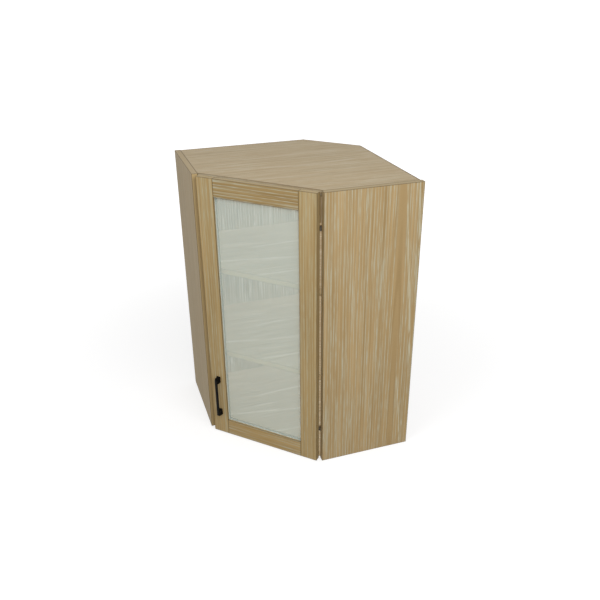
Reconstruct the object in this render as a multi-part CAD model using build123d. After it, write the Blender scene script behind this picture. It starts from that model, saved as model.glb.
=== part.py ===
from build123d import *
import math
import os

# A corner wall cabinet with a glazed door across its cut-off front corner.
# Origin: on the floor plane, at the centre of the square that the cabinet takes up in the room corner.
# The two room walls are the planes x = +WALL_RUN / 2 and y = +WALL_RUN / 2, and z is up.
# All sizes are in millimetres.

# Carcass
WALL_RUN = 600.0            # length along each of the two walls
SIDE_DEPTH = 300.0          # how far each side board stands out from its wall
HEIGHT = 900.0
BOARD = 18.0                # thickness of the sides, top, bottom and shelves
PANEL_SETBACK = 7.0         # top and bottom: front corners behind the sides' front edges
SHELF_SETBACK = 10.0        # the same for the shelves
SHELF_COUNT = 2
SHELF_PLAY = 0.5            # gap between a shelf's end and the side board
EASE = 0.7                  # radius of the eased edges of the boards

# Back
BACK_THICK = 3.0
BACK_RECESS = 5.5           # outer face of the backs to the wall
BACK_GROOVE = 6.0           # depth of the groove in the sides that holds a back's edge
CORNER_CUT = 155.0          # room corner to where the slanting back begins, along each wall

# Door
DOOR_THICK = 18.0
DOOR_BEHIND = 8.0           # back face behind the line between the sides' outer front corners
DOOR_FREE_GAP = 21.0        # free end to the side's outer front corner, along that line
DOOR_HINGE_GAP = 16.0       # hinged end, the same
DOOR_END_GAP = 1.5          # top and bottom of the door inside the carcass's height
DOOR_EASE = 0.6
STILE = 56.0                # width of the upright frame members
RAIL = 56.0                 # width of the frame members across
GLASS_THICK = 4.0
GLASS_HOLD = 8.0            # how far the pane's edge goes into the frame
SEAL_WALL = 1.0             # seal on each side of the pane
SEAL_FOOT = 2.0             # seal behind the pane's edge
FRAME_DOWEL_HALF = 20.0     # length of a frame dowel in each of its two members
FRAME_DOWEL_MARGIN = 12.0   # frame dowels from the rail's outer edge and from its groove

# Handle
HANDLE_HEIGHT = 150.0       # middle of the handle above the floor plane
HANDLE_INSET = 30.0         # middle of the handle from the door's free end
HANDLE_SPACING = 128.0      # screw to screw
HANDLE_REACH = 20.0         # front of the bar from the door
FOOT_WIDTH = 13.0
FOOT_TALL = 22.0
FOOT_LEAN = 2.0             # how far a foot's outer face leans in towards the bar
BAR_WIDTH = 8.0
BAR_THICK = 6.0
BAR_ROUND = 1.25
HANDLE_SCREW_RADIUS = 2.0
HANDLE_HEAD_RADIUS = 4.0
HANDLE_HEAD_THICK = 2.2
HANDLE_THREAD = 11.0        # thread of a handle screw inside its foot
HANDLE_BORE_SPARE = 2.0     # bore in the foot deeper than the thread

# Cup hinges
HINGE_INSET = 110.0         # hinges from the carcass's bottom and top
CUP_RADIUS = 17.5
CUP_DEPTH = 12.5
CUP_WALL = 1.0
CUP_EDGE = 5.0              # wood left between the cup and the door's end
CUP_FLANGE = 1.2
FLANGE_RIM = 1.5            # flange beyond the cup all round
EAR_WIDTH = 12.0
EAR_BEYOND = 6.0            # flange ear beyond the screw's middle
CUP_SCREW_SPREAD = 45.0
CUP_SCREW_OFFSET = 9.5      # screw line from the cup's middle, away from the door's end
CUP_SCREW_RADIUS = 1.75
CUP_SCREW_DEEP = 12.0
CUP_HEAD_RADIUS = 3.5
CUP_HEAD_THICK = 1.5
PIN_EDGE = 12.0             # hinge pin from the door's end
PIN_DEEP = 7.0              # hinge pin from the door's back face
PIN_RADIUS = 2.0
PIN_LENGTH = 24.0
KNUCKLE_RADIUS = 3.5
KNUCKLE_TALL = 16.0
KNUCKLE_PLAY = 0.5          # knuckle to the cup's lugs above and below
LUG_BEYOND = 1.0            # lugs reach past the pin's ends
RUNNING_GAP = 0.05          # between the pin and its knuckle
ARM_TALL = 14.0
NECK_THICK = 3.0
NECK_LEFT = 20.0            # how far the crank reaches away from the door's end
NECK_BACK = 17.0            # how far the crank reaches back behind the pin
ARM_LENGTH = 62.0
ARM_HEIGHT = 10.0
ARM_WALL = 1.5
ARM_NOSE = 12.0             # solid front end of the arm
PLATE_THICK = 2.5
PLATE_GAP = 1.5             # underside of the arm above the plate
PLATE_WIDTH = 30.0
PLATE_TALL = 52.0
PLATE_LINE = 37.0           # plate's screws from the side board's front edge
PLATE_SPREAD = 32.0
PLATE_SCREW_RADIUS = 2.5
PLATE_SCREW_DEEP = 12.0
PLATE_HEAD_RADIUS = 4.5
PLATE_HEAD_THICK = 2.0
RISER_HEIGHT = 6.5
RISER_MARGIN = 4.0          # riser shorter than the arm's hollow at each end
RISER_PLAY = 0.5
FIXING_RADIUS = 3.0
FIXING_OFFSET = 8.0         # arm's fixing screw behind the plate's screws
SETTING_RADIUS = 2.5
SETTING_OFFSET = -12.0      # arm's setting screw ahead of the plate's screws
ARM_SCREW_PLAY = 0.2
ARM_HEAD_BEYOND = 2.0       # heads of the arm's screws beyond their shanks
ARM_HEAD_THICK = 1.8

# Hanging brackets
HANGER_TOP = 17.0           # top of the bracket case under the top panel
HANGER_LENGTH = 61.0
HANGER_WIDTH = 18.0
HANGER_TALL = 50.0
HANGER_WALL = 2.0
COVER_WALL = 1.5
CASE_SCREW_RADIUS = 2.0
CASE_SCREW_DEEP = 14.0
CASE_HEAD_RADIUS = 4.0
CASE_HEAD_THICK = 2.0
UPPER_SCREW = (18.0, 6.5)   # from the case's front and top
LOWER_SCREW = (10.0, 7.0)   # from the case's back and bottom
HOOK_THICK = 3.0
HOOK_TALL = 14.0
HOOK_TAIL = 5.0             # tip of the hook behind the back
HOOK_LIP = 3.5
HOOK_DROP = 12.0            # how far the hook's lip hangs below its neck
HOOK_UNDER = 9.0            # hook's neck under the case's roof
HOOK_START = 8.0            # nut from the case's front wall
HOOK_PLAY = 2.0             # clear of the slot in the back all round
NUT_LENGTH = 10.0
NUT_WIDTH = 11.0
NUT_PLAY = 0.15
ADJUSTER_RADIUS = 3.0
ADJUSTER_LENGTH = 43.0
ADJUSTER_RAISE = 12.0       # setting screw above the case's floor
ADJUSTER_HEAD_RADIUS = 4.5
ADJUSTER_HEAD_THICK = 3.0

# Fittings and fasteners of the carcass
FIT = 0.05                  # clearance of a fastener in its hole
HEAD_ROOM = 0.4             # clearance of a bolt's head in its channel and cam
CAM_RADIUS = 7.5
CAM_DEPTH = 12.5
CAM_SET = 34.0              # cam's middle from the panel's end
CAM_INSETS = (50.0, 60.0)   # from the side board's front and rear edges
BOLT_RADIUS = 2.5
BOLT_DEEP = 11.0            # thread in the side board
BOLT_HEAD = 3.5
BOLT_HEAD_LENGTH = 4.0
KEY_RADIUS = 2.0            # hole in a cam for the turning key
KEY_DEPTH = 2.0
CAP_RADIUS = 8.5
CAP_THICK = 1.2
CAP_STEM_LENGTH = 1.7
DOWEL_RADIUS = 4.0
DOWEL_DEEP = 12.0           # dowel in the side board
DOWEL_LONG = 18.0           # dowel in the panel's end
DOWEL_INSETS = (82.0, 92.0)
PEG_RADIUS = 2.5
PEG_DEEP = 10.0             # peg in the side board
PEG_REACH = 10.0            # peg under the shelf
PEG_COLLAR = 4.5
PEG_COLLAR_THICK = 1.5
PEG_INSETS = (50.0, 50.0)
NAIL_RADIUS = 0.9
NAIL_LENGTH = 20.0
NAIL_HEAD = 2.2
NAIL_HEAD_THICK = 0.8
NAIL_MARGIN = 30.0          # first and last nail from the edges of a back
NAILS_ACROSS = 3            # nails along a board in each side back
BUFFER_STEM = 2.5
BUFFER_HEAD = 4.0
BUFFER_DEEP = 10.0
BUFFER_INSET = 40.0         # buffers from the door's free end
BUFFER_GAP = 0.3
OVERSHOOT = 1.0             # how far a cut runs past the face that it opens

# Worked out from the sizes above
HALF = WALL_RUN / 2
FRONT_EDGE = HALF - SIDE_DEPTH
INNER = -HALF + BOARD
BACK_OUT = HALF - BACK_RECESS
BACK_IN = BACK_OUT - BACK_THICK
FRONT_HALF = (WALL_RUN - SIDE_DEPTH) / math.sqrt(2)
PANEL_FRONT = -(PANEL_SETBACK + BOARD) / math.sqrt(2)
DOOR_BACK = -DOOR_BEHIND
DOOR_STAND = DOOR_BACK + DOOR_THICK
DOOR_LEFT = -FRONT_HALF + DOOR_FREE_GAP
DOOR_RIGHT = FRONT_HALF - DOOR_HINGE_GAP
DOOR_BASE = DOOR_END_GAP
DOOR_TOP = HEIGHT - DOOR_END_GAP
PANE_MIDDLE = DOOR_STAND - DOOR_THICK / 2
FRAME_GROOVE = GLASS_HOLD + SEAL_FOOT
CUP_MIDDLE = DOOR_RIGHT - CUP_EDGE - CUP_RADIUS
CUP_LINE = CUP_MIDDLE - CUP_SCREW_OFFSET
CUP_SKIN = DOOR_BACK - CUP_FLANGE
CUP_FLOOR = DOOR_BACK + CUP_DEPTH
PIN_ACROSS = DOOR_RIGHT - PIN_EDGE
PIN_OUT = DOOR_BACK + PIN_DEEP
HINGE_LEVELS = (HINGE_INSET, HEIGHT - HINGE_INSET)
HANDLE_ACROSS = DOOR_LEFT + HANDLE_INSET
HANDLE_LEVELS = (HANDLE_HEIGHT - HANDLE_SPACING / 2, HANDLE_HEIGHT + HANDLE_SPACING / 2)
BAR_BACK = DOOR_STAND + HANDLE_REACH - BAR_THICK
PLATE_TOP = INNER + PLATE_THICK
PLATE_PLACE = FRONT_EDGE + PLATE_LINE
ARM_BASE = PLATE_TOP + PLATE_GAP
ARM_TOP = ARM_BASE + ARM_HEIGHT
CASE_FRONT = BACK_IN - HANGER_LENGTH
CASE_ROOF = HEIGHT - BOARD - HANGER_TOP
CASE_FLOOR = CASE_ROOF - HANGER_TALL
HOOK_MIDDLE = INNER + HANGER_WIDTH / 2
HOOK_ROOF = CASE_ROOF - HANGER_WALL - HOOK_UNDER
ADJUSTER_LEVEL = CASE_FLOOR + HANGER_WALL + ADJUSTER_RAISE

# The upright plane through the two sides' outer front corners: its x runs along the front
# towards the hinges, its y is up, and its z points out of the front.
FRONT = Plane(origin=(-SIDE_DEPTH / 2, -SIDE_DEPTH / 2, 0), x_dir=(1, -1, 0), z_dir=(-1, -1, 0))
# The cabinet is the same on both sides of this plane, apart from its door.
DIAGONAL = Plane(origin=(0, 0, 0), x_dir=(1, 1, 0), z_dir=(1, -1, 0))


def block(x, y, z, ease=0.0):
    """A box between pairs of coordinates, its edges eased by a small radius."""
    middle = [sum(pair) / 2 for pair in (x, y, z)]
    size = [abs(pair[1] - pair[0]) for pair in (x, y, z)]
    shape = Pos(*middle) * Box(*size)
    return fillet(shape.edges(), ease) if ease else shape


def front_block(across, up, out, ease=0.0):
    """The same, along the front plane's own directions."""
    return FRONT * block(across, up, out, ease)


def rod(start, end, radius):
    """A round bar between two points."""
    run = Vector(*end) - Vector(*start)
    ends = (Align.CENTER, Align.CENTER, Align.MIN)
    return Plane(origin=start, z_dir=run) * Cylinder(radius, run.length, align=ends)


def front_rod(across, up, out, radius):
    """A round bar that points out of the front plane, between two distances from it."""
    return FRONT * rod((across, up, min(out)), (across, up, max(out)), radius)


def around(middle, half):
    """The stretch that reaches equally far to both sides of a middle."""
    return middle - half, middle + half


def left(shape):
    """The mirror image of a right-hand piece, for the left-hand side."""
    return mirror(shape, about=DIAGONAL)


def both(shapes):
    """Right-hand shapes with their left-hand mirror images."""
    return shapes + [left(shape) for shape in shapes]


def without(shape, cutters):
    """A shape with a list of others taken out of it."""
    for cutter in cutters:
        shape = shape - cutter
    return shape


# Levels and places of what fastens the carcass


def panel_levels():
    """For the bottom and the top panel: middle height, inner face, and the way into the board."""
    return [(BOARD / 2, BOARD, -1), (HEIGHT - BOARD / 2, HEIGHT - BOARD, 1)]


def shelf_bases():
    """Undersides of the shelves, which share the inside height equally."""
    clear = (HEIGHT - (SHELF_COUNT + 2) * BOARD) / (SHELF_COUNT + 1)
    return [BOARD + clear + number * (BOARD + clear) for number in range(SHELF_COUNT)]


def places(insets):
    """x of two places on the right side board, from its insets at the front and at the wall."""
    front, rear = insets
    return FRONT_EDGE + front, HALF - rear


def bolt_holes():
    """Holes in the right side board for the bolts' threads."""
    return [rod((x, INNER - BOLT_DEEP, middle), (x, INNER + OVERSHOOT, middle), BOLT_RADIUS + FIT)
            for middle, _, _ in panel_levels() for x in places(CAM_INSETS)]


def bolts():
    """Right-hand connecting bolts: thread in the side board, head in the cam."""
    neck = INNER + CAM_SET - BOLT_HEAD_LENGTH
    found = []
    for middle, _, _ in panel_levels():
        for x in places(CAM_INSETS):
            shaft = rod((x, INNER - BOLT_DEEP, middle), (x, neck, middle), BOLT_RADIUS)
            head = rod((x, neck, middle), (x, INNER + CAM_SET, middle), BOLT_HEAD)
            found.append(shaft + head)
    return found


def bolt_channels():
    """Bores in the panels' ends that let the bolts' heads through to the cams."""
    return [rod((x, INNER, middle), (x, INNER + CAM_SET, middle), BOLT_HEAD + HEAD_ROOM)
            for middle, _, _ in panel_levels() for x in places(CAM_INSETS)]


def at_cams(radius, start, end):
    """Round bars at the right-hand cams, between two depths into the panel from its inner face."""
    y = INNER + CAM_SET
    return [rod((x, y, face + way * start), (x, y, face + way * end), radius)
            for _, face, way in panel_levels() for x in places(CAM_INSETS)]


def cams():
    """Right-hand cams, each hollow where a bolt's head lies, with a hole for the turning key."""
    bodies = at_cams(CAM_RADIUS, 0, CAM_DEPTH)
    keys = at_cams(KEY_RADIUS + FIT, 0, KEY_DEPTH)
    y = INNER + CAM_SET
    spots = [(x, middle) for middle, _, _ in panel_levels() for x in places(CAM_INSETS)]
    found = []
    for body, key, (x, middle) in zip(bodies, keys, spots):
        throat = rod((x, y - CAM_RADIUS - OVERSHOOT, middle), (x, y, middle), BOLT_RADIUS + HEAD_ROOM)
        chamber = rod((x, y - BOLT_HEAD_LENGTH - HEAD_ROOM, middle), (x, y + HEAD_ROOM, middle),
                      BOLT_HEAD + HEAD_ROOM)
        found.append(body - key - throat - chamber)
    return found


def caps():
    """Right-hand caps that hide the cams: a disc with a stem in the key hole."""
    discs = at_cams(CAP_RADIUS, -CAP_THICK, 0)
    stems = at_cams(KEY_RADIUS, 0, CAP_STEM_LENGTH)
    return [disc + stem for disc, stem in zip(discs, stems)]


def dowels(grow=0.0):
    """Right-hand wooden dowels, half in the side board and half in the panel's end."""
    return [rod((x, INNER - DOWEL_DEEP - grow, middle), (x, INNER + DOWEL_LONG + grow, middle),
                DOWEL_RADIUS + grow)
            for middle, _, _ in panel_levels() for x in places(DOWEL_INSETS)]


def peg_holes():
    """Holes in the right side board for the shelf pegs."""
    return [rod((x, INNER - PEG_DEEP - FIT, base - PEG_RADIUS), (x, INNER + OVERSHOOT, base - PEG_RADIUS),
                PEG_RADIUS + FIT)
            for base in shelf_bases() for x in places(PEG_INSETS)]


def pegs():
    """Right-hand pegs under the shelves, each with a collar against the side board."""
    found = []
    for base in shelf_bases():
        for x in places(PEG_INSETS):
            z = base - PEG_RADIUS
            stem = rod((x, INNER - PEG_DEEP, z), (x, INNER + PEG_REACH, z), PEG_RADIUS)
            collar = rod((x, INNER, z), (x, INNER + PEG_COLLAR_THICK, z), PEG_COLLAR)
            above = block(around(x, PEG_COLLAR), (INNER, INNER + PEG_COLLAR_THICK), (base, base + PEG_COLLAR))
            found.append(stem + (collar - above))
    return found


def back_bends():
    """Outer and inner corners of the right-hand back, where the slanting back begins."""
    bend = HALF - CORNER_CUT
    step = BACK_THICK * math.tan(math.radians(22.5))
    return (BACK_OUT, bend), (BACK_IN, bend - step)


def nail_spots():
    """Places on the backs' outer faces, with each face's outward direction."""
    outer, inner = back_bends()
    low, high = INNER + NAIL_MARGIN, inner[1] - NAIL_MARGIN
    step = (high - low) / (NAILS_ACROSS - 1)
    side = [(BACK_OUT, low + number * step) for number in range(NAILS_ACROSS)]
    slope = math.sqrt(0.5)
    inset = NAIL_MARGIN * slope
    slant = [(outer[0] - inset, outer[1] + inset), (outer[1] + inset, outer[0] - inset)]
    found = [(x, y, 1, 0) for x, y in side]
    found += [(y, x, 0, 1) for x, y in side]
    return found + [(x, y, slope, slope) for x, y in slant]


def nails(grow=0.0):
    """Nails through the backs into the rear edges of the top, bottom and shelves."""
    levels = [middle for middle, _, _ in panel_levels()] + [base + BOARD / 2 for base in shelf_bases()]
    found = []
    for z in levels:
        for x, y, nx, ny in nail_spots():
            tip = (x - NAIL_LENGTH * nx, y - NAIL_LENGTH * ny, z)
            top = (x + NAIL_HEAD_THICK * nx, y + NAIL_HEAD_THICK * ny, z)
            shaft = rod(tip, (x, y, z), NAIL_RADIUS + grow)
            found.append(shaft if grow else shaft + rod((x, y, z), top, NAIL_HEAD))
    return found


def buffer_holes():
    """Holes for the buffers' stems in the front edges of the top and bottom."""
    return [front_rod(DOOR_LEFT + BUFFER_INSET, middle, (PANEL_FRONT - BUFFER_DEEP, PANEL_FRONT + OVERSHOOT),
                      BUFFER_STEM + FIT) for middle, _, _ in panel_levels()]


def buffers():
    """Push-in buffers just behind the closed door's free end."""
    across = DOOR_LEFT + BUFFER_INSET
    found = []
    for middle, _, _ in panel_levels():
        stem = front_rod(across, middle, (PANEL_FRONT - BUFFER_DEEP, PANEL_FRONT), BUFFER_STEM)
        found.append(stem + front_rod(across, middle, (PANEL_FRONT, DOOR_BACK - BUFFER_GAP), BUFFER_HEAD))
    return found


# Carcass boards


def board(base, setback, play=0.0):
    """A board between the sides: front corner cut across, rear corner cut off as the backs are."""
    _, (rear, bend) = back_bends()
    near = FRONT_EDGE + setback
    end = INNER + play
    corners = [(near, end), (rear, end), (rear, bend), (bend, rear), (end, rear), (end, near)]
    plan = Polyline(*corners, close=True)
    shape = extrude(Pos(0, 0, base) * make_face(plan), BOARD)
    return fillet(shape.edges(), EASE)


def side_panel():
    """Right side board, with its groove for the back and its holes."""
    shape = block((FRONT_EDGE, HALF), (-HALF, INNER), (0, HEIGHT), EASE)
    groove = block((BACK_IN, BACK_OUT), (INNER - BACK_GROOVE, INNER), (-OVERSHOOT, HEIGHT + OVERSHOOT))
    holes = bolt_holes() + dowels(FIT) + peg_holes() + case_screws(FIT)
    return without(shape - groove, holes)


def end_panel(base):
    """Top or bottom board, bored for its dowels, bolts, cams, nails and buffer."""
    cam_bores = at_cams(CAM_RADIUS + FIT, -OVERSHOOT, CAM_DEPTH + FIT)
    bores = both(bolt_channels() + cam_bores + dowels(FIT))
    return without(board(base, PANEL_SETBACK), bores + nails(FIT) + buffer_holes())


def shelf(base):
    """A shelf, which rests on its pegs and is nailed through the backs."""
    return without(board(base, SHELF_SETBACK, SHELF_PLAY), nails(FIT))


def side_back():
    """Right-hand thin back, from the side board's groove to the slanting back."""
    outer, inner = back_bends()
    start = INNER - BACK_GROOVE
    plan = Polyline((BACK_OUT, start), outer, inner, (BACK_IN, start), close=True)
    return without(extrude(make_face(plan), HEIGHT), nails(FIT)) - hook_opening()


def corner_back():
    """Slanting thin back across the room corner."""
    outer, inner = back_bends()
    plan = Polyline(outer, outer[::-1], inner[::-1], inner, close=True)
    return without(extrude(make_face(plan), HEIGHT), nails(FIT))


# Door, built closed, in the front plane's directions


def window(grow):
    """The window in the door's frame, grown by some length all round, as two stretches."""
    across = (DOOR_LEFT + STILE - grow, DOOR_RIGHT - STILE + grow)
    up = (DOOR_BASE + RAIL - grow, DOOR_TOP - RAIL + grow)
    return across, up


def frame_groove():
    """The groove that runs round the inside of the frame and holds the seal."""
    across, up = window(FRAME_GROOVE)
    return front_block(across, up, around(PANE_MIDDLE, GLASS_THICK / 2 + SEAL_WALL))


def frame_dowels(grow=0.0):
    """Two dowels at each corner of the frame, from the stile into the rail."""
    joints, _ = window(0)
    near, far = FRAME_DOWEL_MARGIN, RAIL - FRAME_GROOVE - FRAME_DOWEL_MARGIN
    levels = [DOOR_BASE + near, DOOR_BASE + far, DOOR_TOP - near, DOOR_TOP - far]
    found = []
    for joint in joints:
        start, end = around(joint, FRAME_DOWEL_HALF + grow)
        for up in levels:
            found.append(FRONT * rod((start, up, PANE_MIDDLE), (end, up, PANE_MIDDLE), DOWEL_RADIUS + grow))
    return found


def frame_member(across, up):
    """A member of the door frame, grooved and bored at its joints."""
    shape = front_block(across, up, (DOOR_BACK, DOOR_STAND), DOOR_EASE)
    return without(shape - frame_groove(), frame_dowels(FIT))


def free_stile():
    """The upright at the door's free end, with the handle's screw holes."""
    shape = frame_member((DOOR_LEFT, DOOR_LEFT + STILE), (DOOR_BASE, DOOR_TOP))
    out = (DOOR_BACK - OVERSHOOT, DOOR_STAND + OVERSHOOT)
    return without(shape, [front_rod(HANDLE_ACROSS, level, out, HANDLE_SCREW_RADIUS + FIT)
                           for level in HANDLE_LEVELS])


def hinge_stile():
    """The upright at the hinges, bored for their cups and screws."""
    shape = frame_member((DOOR_RIGHT - STILE, DOOR_RIGHT), (DOOR_BASE, DOOR_TOP))
    bores = [front_rod(CUP_MIDDLE, level, (DOOR_BACK - OVERSHOOT, CUP_FLOOR + FIT), CUP_RADIUS + FIT)
             for level in HINGE_LEVELS]
    return without(shape, bores + cup_screws(FIT))


def rail(base):
    """A member across the door frame, between the two stiles."""
    across, _ = window(0)
    return frame_member(across, (base, base + RAIL))


def pane():
    """The glass."""
    across, up = window(GLASS_HOLD)
    return front_block(across, up, around(PANE_MIDDLE, GLASS_THICK / 2))


def seal():
    """A soft channel round the pane's edge that fills the frame's groove."""
    across, up = window(0)
    return frame_groove() - front_block(across, up, (DOOR_BACK, DOOR_STAND)) - pane()


def foot(level, way):
    """A foot of the handle, wide at the door and drawn in to the bar, with its threaded bore."""
    tip_middle = level - way * FOOT_LEAN / 2
    base = Pos(HANDLE_ACROSS, level, DOOR_STAND) * Rectangle(FOOT_WIDTH, FOOT_TALL)
    tip_out = BAR_BACK + BAR_THICK / 2
    tip = Pos(HANDLE_ACROSS, tip_middle, tip_out) * Rectangle(BAR_WIDTH, FOOT_TALL - FOOT_LEAN)
    bore_end = DOOR_STAND + HANDLE_THREAD + HANDLE_BORE_SPARE
    bore = front_rod(HANDLE_ACROSS, level, (DOOR_STAND - OVERSHOOT, bore_end), HANDLE_SCREW_RADIUS + FIT)
    return FRONT * loft([base, tip], ruled=True) - bore


def handle():
    """A bow handle: a slim bar on two feet."""
    reach = HANDLE_SPACING / 2 + FOOT_TALL / 2 - 2 * FOOT_LEAN
    bar = front_block(around(HANDLE_ACROSS, BAR_WIDTH / 2), around(HANDLE_HEIGHT, reach),
                      (BAR_BACK, BAR_BACK + BAR_THICK), BAR_ROUND)
    low, high = HANDLE_LEVELS
    return bar + foot(low, -1) + foot(high, 1)


def handle_screws():
    """Two machine screws through the stile from behind, with flat round heads."""
    found = []
    for level in HANDLE_LEVELS:
        shank = front_rod(HANDLE_ACROSS, level, (DOOR_BACK, DOOR_STAND + HANDLE_THREAD), HANDLE_SCREW_RADIUS)
        head = front_rod(HANDLE_ACROSS, level, (DOOR_BACK - HANDLE_HEAD_THICK, DOOR_BACK), HANDLE_HEAD_RADIUS)
        found.append(shank + head)
    return found


# Single-pivot cup hinges with a cranked arm, for a door at 45 degrees to its side board


def hinge_pin(level, grow=0.0):
    """The pin that the door turns on, fixed in its cup."""
    low, high = around(level, PIN_LENGTH / 2 + grow)
    return FRONT * rod((PIN_ACROSS, low, PIN_OUT), (PIN_ACROSS, high, PIN_OUT), PIN_RADIUS + grow)


def cup_lugs(level):
    """Two lugs inside a cup that hold the ends of its pin."""
    near = KNUCKLE_TALL / 2 + KNUCKLE_PLAY
    far = PIN_LENGTH / 2 + LUG_BEYOND
    across = around(PIN_ACROSS, KNUCKLE_RADIUS)
    out = (PIN_OUT - KNUCKLE_RADIUS, CUP_FLOOR - CUP_WALL / 2)
    lower = front_block(across, (level - far, level - near), out)
    return lower + front_block(across, (level + near, level + far), out)


def hinge_cup(level):
    """Round cup in the stile, with a flange for its screws and two lugs that hold the pin."""
    cup = front_rod(CUP_MIDDLE, level, (DOOR_BACK, CUP_FLOOR), CUP_RADIUS)
    rim = front_rod(CUP_MIDDLE, level, (CUP_SKIN, DOOR_BACK), CUP_RADIUS + FLANGE_RIM)
    ears = front_block(around(CUP_LINE, EAR_WIDTH / 2), around(level, CUP_SCREW_SPREAD / 2 + EAR_BEYOND),
                       (CUP_SKIN, DOOR_BACK))
    cavity = front_rod(CUP_MIDDLE, level, (CUP_SKIN - OVERSHOOT, CUP_FLOOR - CUP_WALL), CUP_RADIUS - CUP_WALL)
    lugs = cup_lugs(level) & front_rod(CUP_MIDDLE, level, (CUP_SKIN, CUP_FLOOR), CUP_RADIUS)
    return without(cup + rim + ears - cavity + lugs, [hinge_pin(level, FIT)] + cup_screws(FIT))


def cup_screws(grow=0.0):
    """Two screws for each cup, into the stile."""
    deep = DOOR_BACK + CUP_SCREW_DEEP + grow
    found = []
    for level in HINGE_LEVELS:
        for up in around(level, CUP_SCREW_SPREAD / 2):
            shank = front_rod(CUP_LINE, up, (CUP_SKIN, deep), CUP_SCREW_RADIUS + grow)
            head = front_rod(CUP_LINE, up, (CUP_SKIN - CUP_HEAD_THICK, CUP_SKIN), CUP_HEAD_RADIUS)
            found.append(shank if grow else shank + head)
    return found


def neck_legs():
    """Stretches across and out of the three straight legs of an arm's crank."""
    half = NECK_THICK / 2
    left_side = PIN_ACROSS - NECK_LEFT
    back_side = PIN_OUT - NECK_BACK
    meeting = (-SIDE_DEPTH / 2 - ARM_BASE) * math.sqrt(2) - back_side - half
    return [((left_side - half, PIN_ACROSS), around(PIN_OUT, half)),
            (around(left_side, half), (back_side - half, PIN_OUT + half)),
            ((left_side - half, meeting), around(back_side, half))]


def hinge_arm(level):
    """Cranked arm: a knuckle round the pin, a neck round the door's end, and a hollow arm."""
    tall = around(level, ARM_TALL / 2)
    low, high = around(level, KNUCKLE_TALL / 2)
    shape = FRONT * rod((PIN_ACROSS, low, PIN_OUT), (PIN_ACROSS, high, PIN_OUT), KNUCKLE_RADIUS)
    for across, out in neck_legs():
        shape = shape + front_block(across, tall, out)
    end = FRONT_EDGE + ARM_LENGTH
    shape = shape + block((FRONT_EDGE, end), (ARM_BASE, ARM_TOP), tall)
    hollow = block((FRONT_EDGE + ARM_NOSE, end + OVERSHOOT), (ARM_BASE - OVERSHOOT, ARM_TOP - ARM_WALL),
                   around(level, ARM_TALL / 2 - ARM_WALL))
    shape = shape - hollow - hinge_pin(level, RUNNING_GAP)
    return without(shape, [rod((x, ARM_BASE, level), (x, ARM_TOP + OVERSHOOT, level), radius + ARM_SCREW_PLAY)
                           for x, radius in arm_screw_places()])


def arm_screw_places():
    """x and radius of the fixing screw and the setting screw of an arm."""
    return [(PLATE_PLACE + FIXING_OFFSET, FIXING_RADIUS), (PLATE_PLACE + SETTING_OFFSET, SETTING_RADIUS)]


def arm_screws():
    """Fixing and setting screws that hold each arm on its plate."""
    found = []
    for level in HINGE_LEVELS:
        for x, radius in arm_screw_places():
            shank = rod((x, PLATE_TOP, level), (x, ARM_TOP, level), radius)
            head = rod((x, ARM_TOP, level), (x, ARM_TOP + ARM_HEAD_THICK, level), radius + ARM_HEAD_BEYOND)
            found.append(shank + head)
    return found


def hinge_plate(level):
    """Mounting plate on the side board, with a raised middle that the arm straddles."""
    base = block(around(PLATE_PLACE, PLATE_WIDTH / 2), (INNER, PLATE_TOP), around(level, PLATE_TALL / 2))
    stretch = (FRONT_EDGE + ARM_NOSE + RISER_MARGIN, FRONT_EDGE + ARM_LENGTH - RISER_MARGIN)
    riser_top = PLATE_TOP + RISER_HEIGHT
    riser = block(stretch, (INNER, riser_top), around(level, ARM_TALL / 2 - ARM_WALL - RISER_PLAY))
    holes = [rod((x, PLATE_TOP, level), (x, riser_top + OVERSHOOT, level), radius + FIT)
             for x, radius in arm_screw_places()]
    return without(base + riser, holes + plate_screws(FIT))


def plate_screws(grow=0.0):
    """Two screws for each mounting plate, into the side board."""
    found = []
    for level in HINGE_LEVELS:
        for up in around(level, PLATE_SPREAD / 2):
            tip = (PLATE_PLACE, INNER - PLATE_SCREW_DEEP - grow, up)
            neck = (PLATE_PLACE, PLATE_TOP, up)
            shank = rod(tip, neck, PLATE_SCREW_RADIUS + grow)
            head = rod(neck, (PLATE_PLACE, PLATE_TOP + PLATE_HEAD_THICK, up), PLATE_HEAD_RADIUS)
            found.append(shank if grow else shank + head)
    return found


# Hanging brackets, inside the top rear corners


def driver_hole(start, end):
    """Round hole in front of the setting screw, for the screwdriver."""
    return rod((start, HOOK_MIDDLE, ADJUSTER_LEVEL), (end, HOOK_MIDDLE, ADJUSTER_LEVEL), ADJUSTER_RADIUS)


def hanger_case():
    """Right-hand bracket case: a box screwed to the side board, open at the back."""
    side = INNER + HANGER_WIDTH
    outer = block((CASE_FRONT, BACK_IN), (INNER, side), (CASE_FLOOR, CASE_ROOF))
    hollow = block((CASE_FRONT + HANGER_WALL, BACK_IN + OVERSHOOT), (INNER + HANGER_WALL, side + OVERSHOOT),
                   (CASE_FLOOR + HANGER_WALL, CASE_ROOF - HANGER_WALL))
    hole = driver_hole(CASE_FRONT - OVERSHOOT, CASE_FRONT + HANGER_WALL + OVERSHOOT)
    return without(outer - hollow - hole, case_screws(FIT))


def case_screws(grow=0.0):
    """Right-hand screws through the bracket case into the side board."""
    base = INNER + HANGER_WALL
    spots = [(CASE_FRONT + UPPER_SCREW[0], CASE_ROOF - UPPER_SCREW[1]),
             (BACK_IN - LOWER_SCREW[0], CASE_FLOOR + LOWER_SCREW[1])]
    found = []
    for x, z in spots:
        shank = rod((x, INNER - CASE_SCREW_DEEP - grow, z), (x, base, z), CASE_SCREW_RADIUS + grow)
        head = rod((x, base, z), (x, base + CASE_HEAD_THICK, z), CASE_HEAD_RADIUS)
        found.append(shank if grow else shank + head)
    return found


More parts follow.
